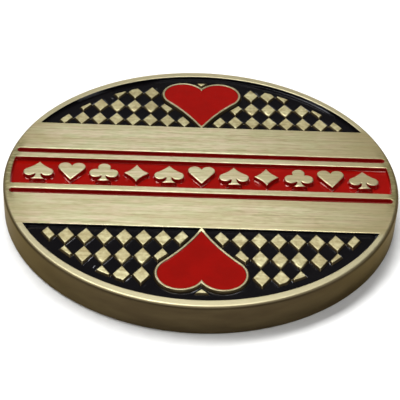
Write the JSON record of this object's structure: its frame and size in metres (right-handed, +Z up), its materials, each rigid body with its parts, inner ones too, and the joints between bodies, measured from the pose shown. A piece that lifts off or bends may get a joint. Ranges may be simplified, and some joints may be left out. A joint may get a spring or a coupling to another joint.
{
  "type": "dealer button",
  "caption": "Round struck-metal dealer button with bevelled rim, brushed bands, raised lozenge check, hearts and suit pips, its recesses filled with red and black soft enamel.",
  "frame": {"origin": "centre of the resting plane, under the middle of the disc", "axes": "+Z up through the thickness, +X along the central band, +Y across it towards the upper heart"},
  "size_m": [0.0508, 0.0508, 0.0042],
  "materials": {
    "brass": "brushed antique brass, darker satin patina on the side wall",
    "red_enamel": "glossy deep red soft enamel",
    "black_enamel": "glossy black soft enamel"
  },
  "bodies": {
    "root": {"button_body": "brass", "obverse_title_field_enamel": "red_enamel", "obverse_upper_pinstripe_enamel": "red_enamel", "obverse_lower_pinstripe_enamel": "red_enamel", "obverse_upper_heart_enamel": "red_enamel", "obverse_lower_heart_enamel": "red_enamel", "obverse_upper_check_border_enamel": "black_enamel", "obverse_lower_check_border_enamel": "black_enamel", "obverse_upper_left_check_enamel": "black_enamel", "obverse_upper_right_check_enamel": "black_enamel", "obverse_lower_left_check_enamel": "black_enamel", "obverse_lower_right_check_enamel": "black_enamel", "reverse_title_field_enamel": "red_enamel", "reverse_upper_pinstripe_enamel": "red_enamel", "reverse_lower_pinstripe_enamel": "red_enamel", "reverse_upper_heart_enamel": "red_enamel", "reverse_lower_heart_enamel": "red_enamel", "reverse_upper_check_border_enamel": "black_enamel", "reverse_lower_check_border_enamel": "black_enamel", "reverse_upper_left_check_enamel": "black_enamel", "reverse_upper_right_check_enamel": "black_enamel", "reverse_lower_left_check_enamel": "black_enamel", "reverse_lower_right_check_enamel": "black_enamel"}
  },
  "joints": []
}
